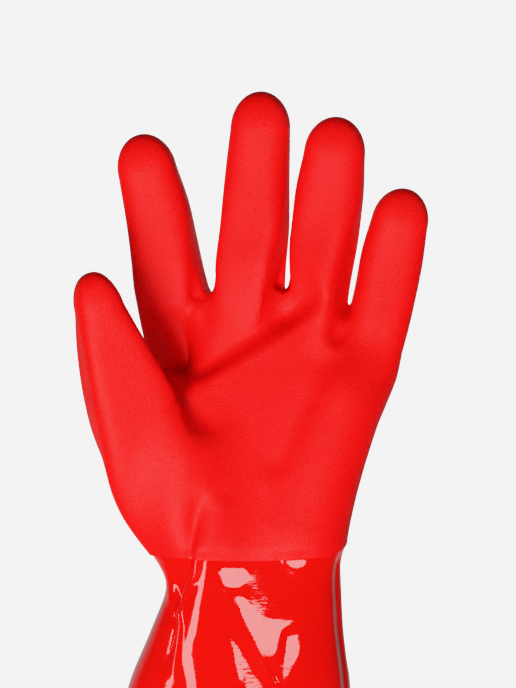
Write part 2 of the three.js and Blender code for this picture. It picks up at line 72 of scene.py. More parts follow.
def readTable(table, at):
    # Between rows i and j: v = v_i + (v_j - v_i) (3 t^2 - 2 t^3) + bend, where t goes from 0 to 1 and
    # bend = width t (1 - t) ((1 - t) slope_i - t slope_j), which carries the slopes through the rows.
    keys = next(iter(table.values()))
    last = len(keys) - 1
    x = np.clip(at, keys[0], keys[-1])
    i = np.clip(np.searchsorted(keys, x) - 1, 0, last - 1)
    width = keys[i + 1] - keys[i]
    t = (x - keys[i]) / width
    before = np.maximum(np.arange(last + 1) - 1, 0)
    after = np.minimum(np.arange(last + 1) + 1, last)
    found = {}
    for name, values in list(table.items())[1:]:
        slope = (values[after] - values[before]) / (keys[after] - keys[before])
        bend = width * t * (1 - t) * ((1 - t) * slope[i] - t * slope[i + 1])
        found[name] = mix(values[i], values[i + 1], smooth(t)) + bend
    return found


# Arm and palm: the outline at each height, from the front (left, right) and from the side (front, back).
# Above topFrom it rounds off, over topLength.
body = {
    "rows": makeTable(
        "z left right front back squareness",
        (-112, -60.5, 47, -42, 43, 2.3),
        (-80, -60, 44.5, -40, 41, 2.4),
        (-46, -54.4, 43, -36.5, 37.5, 2.5),
        (-21, -44.5, 40.6, -31.5, 33, 2.5),
        (0, -36.5, 39.8, -28, 29.5, 2.5),
        (17, -34, 38, -25.5, 27, 2.6),
        (34, -37, 39.5, -23, 24, 2.8),
        (52, -40, 43.8, -21, 22, 3.1),
        (77, -43.5, 53.2, -17.5, 19.5, 3.2),
        (95, -48, 60.5, -15, 17.5, 2.8),
        (125, -49, 62, -13, 15, 2.6),
    ),
    "topFrom": 86, "topLength": 28,
}

# Digits: rounded tubes along straight axes. down is the distance from the tip, side and rise say how far the
# section's middle lies off the axis, to the little finger's side and to the back of the hand, and roll turns
# the section about the axis, in degrees, its front towards the thumb's side. Squareness 2 is an ellipse. The
# tip rounds off over capLength, and the root over rootLength beyond rootFrom.
digitColumns = "down halfWidth halfDepth side rise roll squareness"
thumb = {
    "tip": (-67.4, -45, 130.8),
    "root": (-48, -19.5, 60),
    "capLength": 17, "rootFrom": 106, "rootLength": 30,
    "rows": [
        (16, 10.2, 10.6, -0.2, 0.4, -9, 3),
        (34, 13.4, 13.4, 0, 2.2, -12, 5.6),
        (56, 17.2, 15.5, 1, 3, -12, 6.6),
        (76, 18.6, 16.5, 1.4, 3, -8, 6),
        (98, 16.4, 15, 0.6, 0.5, 10, 4.2),
        (118, 13, 13.2, 0.6, 0, 20, 3),
        (145, 9, 10, 0, 0, 20, 2.5),
    ],
}
indexFinger = {
    "tip": (-46, -1, 192.2),
    "root": (-26.9, 6, 111.8),
    "capLength": 16, "rootFrom": 82, "rootLength": 42,
    "rows": [
        (16, 12.6, 11.2, -2.9, 0, 4, 2.8),
        (34, 14, 12, -2.7, 1.6, 6, 2.9),
        (52, 14.1, 12.6, -3.8, 2.4, 14, 3.8),
        (66, 14.6, 13, -4.8, 3, 19, 3.8),
        (110, 17, 13, -4.6, 4, 20, 3),
    ],
}
middleFinger = {
    "tip": (3.2, -9, 209.4),
    "root": (0.2, -1, 120.4),
    "capLength": 16, "rootFrom": 98, "rootLength": 28,
    "rows": [
        (16, 12.7, 11.4, 0.8, 0, 4, 2.8),
        (36, 13.6, 12.2, 0.1, 1.8, 10, 2.9),
        (58, 13.9, 12.8, -0.5, 2.2, 16, 4.4),
        (76, 14.1, 13.4, -1.9, 1.2, 19, 4.4),
        (125, 15.5, 14, -2.5, 0, 10, 2.8),
    ],
}
ringFinger = {
    "tip": (35, -10, 198.6),
    "root": (26.9, -2, 120.4),
    "capLength": 16, "rootFrom": 92, "rootLength": 28,
    "rows": [
        (16, 13.1, 11.4, 1.7, 0, 2, 2.8),
        (34, 14.5, 12.2, 1.4, 1.8, 8, 2.9),
        (52, 13.1, 12.6, 1.2, 2, 21, 4.4),
        (72, 12.2, 13, 0.2, 1, 24, 4.4),
        (118, 14, 13.5, -1, 0, 10, 2.8),
    ],
}
littleFinger = {
    "tip": (65.1, -8, 168.1),
    "root": (51.4, -1, 111.8),
    "capLength": 15, "rootFrom": 78, "rootLength": 16,
    "rows": [
        (15, 12, 10.4, 1.4, 0, -6, 2.8),
        (30, 13.2, 11.2, 1.9, 1.5, -6, 2.9),
        (46, 13.1, 11.8, 2.7, 1.5, -6, 2.9),
        (62, 13.1, 12.2, 2.8, 0.8, -6, 2.9),
        (98, 13.5, 12, 1, 0, -10, 2.8),
    ],
}
fingers = [indexFinger, middleFinger, ringFinger, littleFinger]
# How far neighbours round into each other: the first blend above a gap's bottom, and the second below it. The
# thumb has its second blend also at the back, beyond the palm's edge.
fingerGaps = [
    {"bottom": 137, "above": 3, "below": 20, "blends": (0.6, 10)},
    {"bottom": 128, "above": 3, "below": 17, "blends": (0.9, 11)},
    {"bottom": 121, "above": 3, "below": 17, "blends": (0.9, 11)},
]
thumbGap = {
    "bottom": 76, "above": 4, "below": 14, "blends": (2, 13),
    "outside": (40, 48), "behind": (-16, -3),
}
palmBlend = 8
mounds = [
    {"start": (22, -10, 22), "end": (38, -6, 76), "radius": 14.5, "blend": 16},  # heel of the hand
    {"start": (-20, -13, 18), "end": (-27, -13, 52), "radius": 14, "blend": 18},  # ball of the thumb
]

# A digit's own axes: up to the tip, back to the back of the hand, and across to the little finger's side.
for digit in [thumb, *fingers]:
    digit["rows"] = makeTable(digitColumns, *digit["rows"])
    digit["tip"] = np.array(digit["tip"], float)
    digit["up"] = unit(digit["tip"] - np.array(digit["root"], float))
    digit["back"] = unit(np.array((0, 1, 0)) - digit["up"] * digit["up"][1])
    digit["across"] = np.cross(digit["back"], digit["up"])


tiny = {"oval": 1e-9, "length": 1e-6, "slope": 1e-4}  # these keep each division away from 0


def tubeDistance(across, through, halfWidth, halfDepth, squareness, cap, capLength):
    # With n the squareness: oval = (|across / halfWidth|^n + |through / halfDepth|^n)^(1 / n),
    # share = sqrt(oval^2 + cap^2), and distance = (share - 1) / slope, where slope is how fast share grows.
    a = np.abs(across / halfWidth) ** squareness
    b = np.abs(through / halfDepth) ** squareness
    total = np.maximum(a + b, tiny["oval"])
    oval = total ** (1 / squareness)
    slopeA = a / total * oval / np.maximum(np.abs(across), tiny["length"])
    slopeB = b / total * oval / np.maximum(np.abs(through), tiny["length"])
    share = np.hypot(oval, cap)
    slope = np.sqrt((oval * slopeA) ** 2 + (oval * slopeB) ** 2 + (cap / capLength) ** 2) / share
    return (share - 1) / np.maximum(slope, tiny["slope"])


def digitSection(digit, down):
    # middle = tip - up down + across side + back rise, with the half width and half depth along the section's
    # own axes u = across cos(roll) - back sin(roll) and v = back cos(roll) + across sin(roll).
    row = {name: value[..., None] for name, value in readTable(digit["rows"], down).items()}
    across, back = digit["across"], digit["back"]
    middle = digit["tip"] - digit["up"] * down[..., None] + across * row["side"] + back * row["rise"]
    roll = np.radians(row["roll"])
    u = across * np.cos(roll) - back * np.sin(roll)
    v = back * np.cos(roll) + across * np.sin(roll)
    return middle, u * row["halfWidth"], v * row["halfDepth"], row["squareness"][..., 0]


def digitDistance(digit, p):
    # The tube of the digit's sections, rounded off at the tip and at the root.
    down = (digit["tip"] - p) @ digit["up"]
    middle, wide, deep, squareness = digitSection(digit, down)
    off = p - middle
    halfWidth, halfDepth = np.linalg.norm(wide, axis=-1), np.linalg.norm(deep, axis=-1)
    beyondTip = np.maximum(digit["capLength"] - down, 0)
    beyondRoot = np.maximum(down - digit["rootFrom"], 0)
    capLength = np.where(beyondTip > 0, digit["capLength"], digit["rootLength"])
    cap = (beyondTip + beyondRoot) / capLength
    across, through = (off * wide).sum(-1) / halfWidth, (off * deep).sum(-1) / halfDepth
    return tubeDistance(across, through, halfWidth, halfDepth, squareness, cap, capLength)


def bodySection(z):
    # The outline's middle and half sizes at height z: half the sums and half the differences of its edges.
    row = readTable(body["rows"], z)
    middle = np.stack([row["left"] + row["right"], row["front"] + row["back"]], -1) / 2
    halves = np.stack([row["right"] - row["left"], row["back"] - row["front"]], -1) / 2
    return middle, halves, row["squareness"]


def bodyDistance(p):
    # The tube of the arm's and palm's outlines, rounded off at the top.
    middle, halves, squareness = bodySection(p[..., 2])
    off = p[..., :2] - middle
    cap = np.maximum(p[..., 2] - body["topFrom"], 0) / body["topLength"]
    sizes = (halves[..., 0], halves[..., 1], squareness)
    return tubeDistance(off[..., 0], off[..., 1], *sizes, cap, body["topLength"])


def lineDistance(p, start, end):
    # |p - (start + t along)|, with t = (p - start) . along / along^2 held between 0 and 1.
    start, along = np.array(start, float), np.subtract(end, start).astype(float)
    t = np.clip((p - start) @ along / (along @ along), 0, 1)
    return np.linalg.norm(p - start - along * t[..., None], axis=-1), t


def join(a, b, blend):
    # min(a, b) - (blend - |a - b|)^2 / (4 blend) where the two are less than blend apart.
    return np.minimum(a, b) - np.maximum(blend - np.abs(a - b), 0) ** 2 / (4 * blend)


def gapBlend(gap, p):
    # first + (second - first) share, where share eases from 0 above the gap's bottom to 1 below it.
    share = rise(-p[..., 2], -gap["bottom"] - gap["above"], gap["below"] - gap["bottom"])
    if "outside" in gap:
        share = np.maximum(share, rise(-p[..., 0], *gap["outside"]) * rise(p[..., 1], *gap["behind"]))
    return mix(*gap["blends"], share)


def gloveField(p):
    # The joined distances of palm, fingers, thumb and mounds: negative inside the glove's outer skin.
    allFingers = digitDistance(fingers[0], p)
    for finger, gap in zip(fingers[1:], fingerGaps):
        allFingers = join(allFingers, digitDistance(finger, p), gapBlend(gap, p))
    field = join(bodyDistance(p), allFingers, palmBlend)
    field = join(field, digitDistance(thumb, p), gapBlend(thumbGap, p))
    for mound in mounds:
        distance, _ = lineDistance(p, mound["start"], mound["end"])
        field = join(field, distance - mound["radius"], mound["blend"])
    return field


def fieldSlope(p, step=0.15):
    # The sum of corner field(p + step corner) over four corners of a cube, divided by 4 step.
    corners = np.array([(1, 1, 1), (1, -1, -1), (-1, 1, -1), (-1, -1, 1)], float)
    return sum(corner * gloveField(p + step * corner)[..., None] for corner in corners) / (4 * step)


newton = {"longest": 3, "leastSize": 0.05}


def ontoSkin(p, rounds=3):
    # Newton's steps: p - slope field / slope^2, with field / slope^2 held to the longest step.
    for _ in range(rounds):
        slope = fieldSlope(p)
        size = np.maximum((slope**2).sum(-1), newton["leastSize"])
        p = p - slope * np.clip(gloveField(p) / size, -newton["longest"], newton["longest"])[..., None]
    return p


rays = {"stretch": 1.6, "from": 5, "to": 92, "step": 3.0, "halvings": 16}


def skinOnRays(angles, heights, centre):
    # Level rays centre + r unit(stretch cos, sin): the first r where the field turns positive, by even steps
    # and then by halving.
    turn = np.radians(angles)
    directions = unit(np.stack([rays["stretch"] * np.cos(turn), np.sin(turn), 0 * turn], -1))
    origins = np.stack(np.broadcast_arrays(*centre, heights + 0 * turn), -1)
    reach = np.arange(rays["from"], rays["to"], rays["step"])
    outside = gloveField(origins[..., None, :] + directions[..., None, :] * reach[:, None]) > 0
    far = reach[np.argmax(outside, axis=-1)]
    near = far - rays["step"]
    for _ in range(rays["halvings"]):
        middle = (near + far) / 2
        inside = gloveField(origins + directions * middle[..., None]) < 0
        near, far = np.where(inside, middle, near), np.where(inside, far, middle)
    return origins + directions * near[..., None]


# Walls and the coat's edge, as on the solids.
walls = {
    "cuffEnd": -110,
    "coat": 0.6, "gap": 0.3, "cuff": 1.3,
    "lap": 10, "lapEndGap": 0.4,
    "edgeHeight": 10.3, "edgeClimb": 6.4, "climbSpread": 40, "backRise": 3,
}
handWall = walls["coat"] + walls["gap"] + walls["cuff"]


def coatEdge(angles):
    # height + climb exp(-(turn / spread)^2) + backRise (1 + sin) / 2. turn is 0 at the little finger's side.
    turn = (angles + 540) % 360 - 180
    climb = walls["edgeClimb"] * np.exp(-((turn / walls["climbSpread"]) ** 2))
    return walls["edgeHeight"] + climb + walls["backRise"] * (0.5 + 0.5 * np.sin(np.radians(angles)))


# The net of four-sided faces that both walls of a piece share.
netSizes = {
    "perFinger": 5, "throughDepth": 4, "thumbWeb": 6, "roundThumb": 12,
    "thumbTurn": 8,  # how far round the thumb its cap's grid starts
    "lowerRows": 8, "upperRows": 7, "digitRows": 8, "cuffRows": 17,
    "capAngles": (22.5, 45),  # degrees up the rounded tip, one for each of its rings
    "settled": 0.6,  # the share of a digit's rows over which the root ring turns into its sections
    "webLift": 4, "rootBulge": 5, "backDrop": 3,
    "relaxRounds": 34,
    "mergePerMm": 1e4,  # refined points closer than one part of this are one point
}


class Net:  # points by number, and faces of four numbers each
    def __init__(self):
        self.points = np.zeros((0, 3))
        self.held = np.zeros(0, bool)
        self.faces = []

    def place(self, points, held=False):  # gives a grid of points back as a grid of numbers
        points = np.asarray(points, float)
        numbers = len(self.points) + np.arange(points[..., 0].size).reshape(points.shape[:-1])
        self.points = np.concatenate([self.points, points.reshape(-1, 3)])
        self.held = np.concatenate([self.held, np.full(numbers.size, held)])
        return numbers

    def weave(self, grid, closed=False):  # one face between each four neighbours of a grid of numbers
        if closed:
            grid = np.column_stack([grid, grid[:, :1]])
        corners = [grid[:-1, :-1], grid[:-1, 1:], grid[1:, 1:], grid[1:, :-1]]
        faces = np.stack(corners, -1).reshape(-1, 4)
        self.faces.append(faces)
        return faces

    def relax(self, rounds):
        # Each point goes half the way to the mean of its neighbours, and back onto the skin.
        faces = np.concatenate(self.faces)
        edges = np.concatenate([faces[:, [i, (i + 1) % 4]] for i in range(4)])
        edges = np.unique(np.sort(edges, axis=1), axis=0)
        a, b = np.concatenate([edges, edges[:, ::-1]]).T
        count = np.bincount(a, minlength=len(self.points))[:, None]
        free = ~self.held
        for _ in range(rounds):
            total = np.stack([np.bincount(a, self.points[b, k], len(self.points)) for k in range(3)], -1)
            moved = mix(self.points, total / count, 0.5)
            self.points[free] = ontoSkin(moved[free], 1)


# Rings round the arm: the angle of each corner column at the wrist, and where the thumb leaves.
anchors = makeTable("wrist thumb", (-134, -128), (-20, -34), (20, 34), (134, 132), (226, 232))
splitHeights = {"web": 74, "thumbSide": 62, "littleSide": 66, "webAt": -0.76}
splitCentre = np.array((-8.0, -6.0))
# The ring at the fingers' roots: the x and z of each corner, with its y in front and at the back.
fingerRoots = makeTable(
    "x z front back",
    (-43, 108, -7, 17),
    (-17.6, 123, -7, 13),
    (15, 123, -9, 10),
    (41.4, 112, -9, 9),
    (63.5, 98, -10, 9),
)
rootAngles = (-142, -38, 38, 142, 218)  # a finger's root ring, at its corners
thumbAngles = (58, 302, 418)  # the thumb's, at the two ends of its web


def evenAngles(corners, counts):
    # From each corner's angle to the next in so many even steps.
    shares = [np.arange(count) / count for count in counts]
    return np.concatenate([mix(corners[i], corners[i + 1], share) for i, share in enumerate(shares)])


def columnAngles(share):
    # Evenly round front, little side, back and thumb side, with the corners between wrist and split.
    front = 4 * netSizes["perFinger"] - 1
    counts = (front, netSizes["throughDepth"], front, netSizes["roundThumb"])
    return evenAngles(mix(anchors["wrist"], anchors["thumb"], share), counts)


def splitHeight(angles):
    # The ring where the thumb leaves is highest at the web, and falls to both sides by the angle's cosine.
    turn = np.cos(np.radians(angles))
    h = splitHeights
    outer = mix(h["web"], h["thumbSide"], (h["webAt"] - turn) / (1 + h["webAt"]))
    inner = mix(h["web"], h["littleSide"], smooth(np.clip((turn - h["webAt"]) / (1 - h["webAt"]), 0, 1)))
    return np.where(turn < h["webAt"], outer, inner)


def capPatch(net, digit, ring, edgeAngle):
    # A grid that closes the tip: boundary points blended across both ways, and lifted like half an egg.
    wide, deep = netSizes["perFinger"], netSizes["throughDepth"]
    corners = np.cumsum([0, wide, deep, wide])
    loop = np.append(ring, ring[0])
    front, right, back, left = [loop[a:b] for a, b in zip(corners, [*(corners[1:] + 1), len(loop)])]
    back, left = back[::-1], left[::-1]
    u = np.linspace(0, 1, wide + 1)[None, :, None]
    v = np.linspace(0, 1, deep + 1)[:, None, None]
    at = net.points
    flat = mix(at[front][None], at[back][None], v) + mix(at[left][:, None], at[right][:, None], u)
    corner = mix(mix(at[front[0]], at[front[-1]], u), mix(at[back[0]], at[back[-1]], u), v)
    reach = np.maximum(np.abs(2 * u - 1), np.abs(2 * v - 1))
    height = digit["capLength"] * (np.sqrt(1 - (reach * math.cos(edgeAngle)) ** 2) - math.sin(edgeAngle))
    inside = ontoSkin((flat - corner + digit["up"] * height)[1:-1, 1:-1], rounds=4)
    grid = np.zeros((deep + 1, wide + 1), int)
    grid[0], grid[-1], grid[:, 0], grid[:, -1] = front, back, left, right
    grid[1:-1, 1:-1] = net.place(inside)
    net.weave(grid)


webSearch = {"top": 150, "bottom": 95, "levels": 111, "halvings": 20}


def webLine(left, right, depths):
    # Where two fingers are equally far, at each depth y: the height at which the way down enters the skin.
    levels = np.linspace(webSearch["top"], webSearch["bottom"], webSearch["levels"])
    z, y = np.meshgrid(levels, depths)
    slants = [(digit["tip"], digit["up"][0] / digit["up"][2]) for digit in (left, right)]
    low, high = [tip[0] - slant * (tip[2] - z) for tip, slant in slants]
    for _ in range(webSearch["halvings"]):
        x = (low + high) / 2
        p = np.stack([x, y, z], -1)
        nearLeft = digitDistance(left, p) < digitDistance(right, p)
        low, high = np.where(nearLeft, x, low), np.where(nearLeft, high, x)
    field = gloveField(p)
    row = np.arange(len(depths))
    below = np.argmax(field < 0, axis=1)
    above = below - 1
    share = field[row, above] / (field[row, above] - field[row, below])
    return mix(p[row, above], p[row, below], share[:, None])


def addDigit(net, digit, ring, angles):
    # Rows carried up from the root ring turn into the digit's own sections, then close over the tip.
    start = net.points[ring]
    startDown = (digit["tip"] - start) @ digit["up"]
    turn = np.radians(angles)

    def section(down, shrink):  # middle + shrink (wide cos + deep sin)
        middle, wide, deep, _ = digitSection(digit, down)
        return middle + wide * (shrink * np.cos(turn))[..., None] + deep * (shrink * np.sin(turn))[..., None]

    share = steps(netSizes["digitRows"])
    down = mix(startDown, digit["capLength"], share)
    carried = start + digit["up"] * (startDown - down)[..., None]
    tube = mix(carried, section(down, 1), rise(share, 0, netSizes["settled"])[..., None])
    capTurns = np.radians(netSizes["capAngles"])[:, None]
    cap = section(digit["capLength"] * (1 - np.sin(capTurns)) + 0 * turn, np.cos(capTurns))
    rows = net.place(ontoSkin(np.concatenate([tube, cap]), rounds=6))
    net.weave(np.concatenate([ring[None], rows]), closed=True)
    return rows[-1], capTurns[-1, 0]


def lowerRings(net):
    # Rings at the coat's edge, at the lap's top, and evenly from there up to where the thumb leaves.
    angles = columnAngles(0)
    edge = coatEdge(angles)
    rings = [net.place(skinOnRays(angles, edge, (0, 0)), held=True)]
    for share in np.linspace(0, 1, netSizes["lowerRows"]):
        angles = columnAngles(share)
        heights = mix(edge + walls["lap"], splitHeight(angles), share)
        rings.append(net.place(skinOnRays(angles, heights, splitCentre * share), held=share == 0))
    return np.stack(rings)


def thumbWebLine(net, start, end):
    # start + (end - start) t, lifted by webLift sin(pi t).
    t = steps(netSizes["thumbWeb"])[:-1]
    lift = np.array((0, 0, netSizes["webLift"])) * halfSine(t)
    return net.place(mix(net.points[start], net.points[end], t) + lift)


def rootsRing():
    # The fingers' roots in one ring: front, little side, back, index side, pushed out by rootBulge sin(pi t).
    across = np.arange(4 * netSizes["perFinger"] + 1) / netSizes["perFinger"]
    finger = np.minimum(across.astype(int), 3)
    t = across - finger
    root = {name: mix(column[finger], column[finger + 1], t) for name, column in fingerRoots.items()}
    bulge = netSizes["rootBulge"] * halfSine(t)
    front = np.stack([root["x"], root["front"] - bulge, root["z"]], -1)
    back = np.stack([root["x"], root["back"] + bulge, root["z"] - netSizes["backDrop"]], -1)[::-1]
    t = steps(netSizes["throughDepth"])[:-1]
    outward = np.array((netSizes["rootBulge"], 0, 0)) * halfSine(t)
    littleSide = mix(front[-1], back[0], t) + outward
    indexSide = mix(back[-1], front[0], t) - outward
    return np.concatenate([front, littleSide, back, indexSide])


def fingerRings(net, knuckles):
    # A finger's root ring: its stretch of the front, a web or side, its stretch of the back, and the other.
    wide, deep = netSizes["perFinger"], netSizes["throughDepth"]
    last = 4 * wide
    front = knuckles[: last + 1]
    back = knuckles[last + deep : 2 * last + deep + 1][::-1]
    sides = [knuckles[2 * last + deep + 1 :][::-1]]
    for i in range(1, 4):
        depths = np.linspace(fingerRoots["front"][i], fingerRoots["back"][i], deep + 1)
        web = webLine(fingers[i - 1], fingers[i], depths)
        ends = [front[i * wide], back[i * wide]]
        net.points[ends], net.held[ends] = web[[0, -1]], True
        sides.append(net.place(web[1:-1], held=True))
    sides.append(knuckles[last + 1 : last + deep])
    rings = []
    for i in range(4):
        span = slice(i * wide, (i + 1) * wide + 1)
        rings.append(np.concatenate([front[span], sides[i + 1], back[span][::-1], sides[i][::-1]]))
    return rings


def handNet():
    # Arm and palm up to the split, the rest of the palm, then the fingers and the thumb on their root rings.
    net = Net()
    lower = lowerRings(net)
    lapFaces = net.weave(lower[:2], closed=True)
    net.weave(lower[1:], closed=True)
    split = lower[-1]
    thumbStart = len(split) - netSizes["roundThumb"]
    web = thumbWebLine(net, split[0], split[thumbStart])
    bottom = np.concatenate([web[:1], split[: thumbStart + 1], web[:0:-1]])
    share = steps(netSizes["upperRows"])[..., None]
    upper = net.place(ontoSkin(mix(net.points[bottom], rootsRing(), share), rounds=8))
    net.weave(np.concatenate([bottom[None], upper]), closed=True)
    angles = evenAngles(rootAngles, [netSizes["perFinger"], netSizes["throughDepth"]] * 2)
    for digit, ring in zip(fingers, fingerRings(net, upper[-1])):
        capPatch(net, digit, *addDigit(net, digit, ring, angles))
    ring = np.concatenate([split[thumbStart:], split[:1], web])
    angles = evenAngles(thumbAngles, [netSizes["roundThumb"], netSizes["thumbWeb"]])
    tip, edgeAngle = addDigit(net, thumb, ring, angles)
    capPatch(net, thumb, np.roll(tip, -netSizes["thumbTurn"]), edgeAngle)
    net.relax(netSizes["relaxRounds"])
    return net, lower[0], lower[1], lapFaces


def cuffNet():
    # Rings of level rays from the lap's hidden top down to the cut end.
    net = Net()
    angles = columnAngles(0)
    edge = coatEdge(angles)
    top = edge + walls["lap"] - walls["lapEndGap"]
    share = np.linspace(0, 1, netSizes["cuffRows"] + 1)[:, None]
    heights = np.concatenate([top[None], mix(edge, walls["cuffEnd"], share)])
    rings = net.place(skinOnRays(np.broadcast_to(angles, heights.shape), heights, (0, 0)))
    net.weave(rings[::-1], closed=True)
    return net, rings[0], rings[-1]


def refine(points, faces, cuts, rings):
    # Each face a, b, c, d becomes a grid: (a (1 - u) + b u) (1 - v) + (c u + d (1 - u)) v. Equal points
    # merge, and the rings, cut into as many steps, are found again among them.
    u, v = np.meshgrid(*[np.linspace(0, 1, cuts + 1)] * 2, indexing="ij")
    weights = np.stack([(1 - u) * (1 - v), u * (1 - v), u * v, (1 - u) * v])
    grids = np.einsum("kuv,fkx->fuvx", weights, points[faces])
    share = (np.arange(cuts) / cuts)[None, :, None]
    ends = [(points[ring][:, None], points[np.roll(ring, -1)][:, None]) for ring in rings]
    lines = [mix(start, end, share).reshape(-1, 3) for start, end in ends]
    everything = np.concatenate([grids.reshape(-1, 3), *lines])
    keys = np.round(everything * netSizes["mergePerMm"]).astype(np.int64)
    _, first, number = np.unique(keys, axis=0, return_index=True, return_inverse=True)
    number = number.reshape(-1)
    inGrids = grids[..., 0].size
    cells = number[:inGrids].reshape(len(faces), cuts + 1, cuts + 1)
    corners = [cells[:, :-1, :-1], cells[:, 1:, :-1], cells[:, 1:, 1:], cells[:, :-1, 1:]]
    fineFaces = np.stack(corners, -1).reshape(-1, 4)
    fineRings = np.split(number[inGrids:], len(rings))
    return everything[first], fineFaces, fineRings


# Creases and folds pressed into the skin: side, depth, width and path. On palm and back the path's points are
# (x, z), and on the thumb's and the little finger's side (y, z). A hollow is pressed into the palm alone, and
# not into the thumb in front of it.
folds = [
    ("hollow", 18, 10.5, [(-39, 120), (-37, 100), (-33, 78)]),
    ("palm", 2.4, 3.4, [(40, 112), (33, 99)]),
    ("palm", 2, 6, [(35, 103), (5, 42)]),
    ("palm", 2.4, 7, [(-33, 76), (-10, 60)]),
    ("palm", 2.2, 6, [(-19, 42), (-27, 14)]),
    ("little", 1.5, 3.6, [(-12, 14), (-15, -58)]),
    ("little", 2, 4.6, [(-2, 16), (0, -40)]),
    ("little", 1.6, 5, [(10, 8), (16, -54)]),
    ("thumb", 2.6, 6, [(12, 6), (18, -60)]),
    ("back", 1.8, 5, [(-20, 12), (22, 2)]),
    ("back", 1.7, 5, [(26, -2), (-12, -20)]),
    ("back", 1.5, 6, [(-30, -8), (8, -40)]),
]
sideFacing = {"palm": (0, -1), "back": (0, 1), "thumb": (-1, 0), "little": (1, 0)}
hollowFront = (-24, -18)  # y, over which the hollow's share eases in behind the thumb
fullFacing = 0.6  # the cosine from which on a side's share is 1
farOff = 1e3


def facingShare(p, side):
    # 1 where the arm's section faces that side, easing by the cosine to 0 at right angles to it.
    middle, halves, _ = bodySection(p[..., 2])
    facing = unit((p[..., :2] - middle) / halves) @ np.array(sideFacing[side], float)
    return rise(facing, 0, fullFacing)


def sideShares(p):
    # Each side's facing share, and the palm's once more for the hollow, times its ease in.
    shares = {side: facingShare(p, side) for side in sideFacing}
    shares["hollow"] = shares["palm"] * rise(p[..., 1], *hollowFront)
    return shares


def foldDepth(p):
    # The sum of depth exp(-(distance / width)^2) over the folds, each on its own side and easing out at its
    # ends. The distance is to the path's nearest piece, and way is how far along the path that point lies.
    total = np.zeros(p.shape[:-1])
    shares = sideShares(p)
    for side, depth, width, path in folds:
        flat = p[..., [1, 2]] if side in ("thumb", "little") else p[..., [0, 2]]
        away, way, before = np.full(len(flat), farOff), np.zeros(len(flat)), 0
        for a, b in zip(path, path[1:]):
            distance, t = lineDistance(flat, a, b)
            length = math.dist(a, b)
            nearer = distance < away
            away = np.where(nearer, distance, away)
            way = np.where(nearer, before + t * length, way)
            before += length
        ends = rise(np.minimum(way, before - way), 0, min(2 * width, before / 2))
        total += depth * shares[side] * np.exp(-((away / width) ** 2)) * ends
    return total


# Tucks: paths with one side deeper than the other. Their points are (x, z, depth, edge). The deep side is on
# the left of a path that runs down, edge is half the step's width, and the near side stands up by lip.
tucks = [
    {"side": "hollow", "lip": 0, "width": 17, "path": [
        (32, 123, 0, 6), (25, 118.2, 5, 6), (16.1, 112, 9.5, 5.6), (7.1, 105.8, 9.5, 5.6),
        (-5.8, 98, 7.5, 5.6), (-20, 89.5, 6, 5), (-34, 84, 0, 5),
    ]},
    {"side": "hollow", "lip": 0, "width": 5, "path": [
        (-16.5, 132, 0, 1), (-18, 127.5, 3, 1.2), (-21, 123, 4.4, 1.8), (-25, 117.5, 3.4, 2.8),
        (-29, 110, 0, 4),
    ]},
    {"side": "palm", "lip": 0.9, "width": 3.8, "path": [
        (-19.5, 40, 0, 4), (-23.5, 24, 3.6, 3), (-27, 9, 5.4, 2), (-30.7, -4, 5.6, 1),
        (-32.6, -12, 4.8, 0.8), (-32.2, -18, 3.4, 0.8), (-34, -26, 2.4, 1), (-38, -38, 0, 2),
    ]},
    {"side": "palm", "lip": 0.6, "width": 5, "path": [
        (-32.6, -13, 0, 0.8), (-34, -9, 2.6, 0.8), (-36, 1, 2.4, 1.2), (-37, 8, 0, 2),
    ]},
    {"side": "palm", "lip": 0.2, "width": 7, "path": [
        (20, -58, 0, 2), (13.5, -45, 0.6, 0.7), (6.5, -33, 0.6, 0.7), (2.6, -25.8, 0.4, 0.7), (-4, -14, 0, 1),
    ]},
]


def tuckDepth(p):
    # depth rise(s, -edge, edge) exp(-max(s, 0) / width) - lip exp(-((s + 2 edge) / (1.5 edge))^2), where s is
    # the distance to the path, positive on its left, and lip is scaled down where the depth is less than 1.
    flat = p[..., [0, 2]]
    total = np.zeros(len(p))
    shares = sideShares(p)
    for tuck in tucks:
        s, depth, edge = np.full(len(p), farOff), np.zeros(len(p)), np.ones(len(p))
        for a, b in zip(tuck["path"], tuck["path"][1:]):
            distance, t = lineDistance(flat, a[:2], b[:2])
            side = (b[1] - a[1]) * (flat[..., 0] - a[0]) - (b[0] - a[0]) * (flat[..., 1] - a[1])
            nearer = distance < np.abs(s)
            s = np.where(nearer, np.where(side > 0, distance, -distance), s)
            depth = np.where(nearer, mix(a[2], b[2], t), depth)
            edge = np.where(nearer, mix(a[3], b[3], t), edge)
        step = rise(s / edge, -1, 1) * np.exp(-np.maximum(s, 0) / tuck["width"])
        lip = np.exp(-(((s / edge + 2) / 1.5) ** 2)) * np.minimum(depth, 1) * tuck["lip"]
        total += shares[tuck["side"]] * (depth * step - lip)
    return total


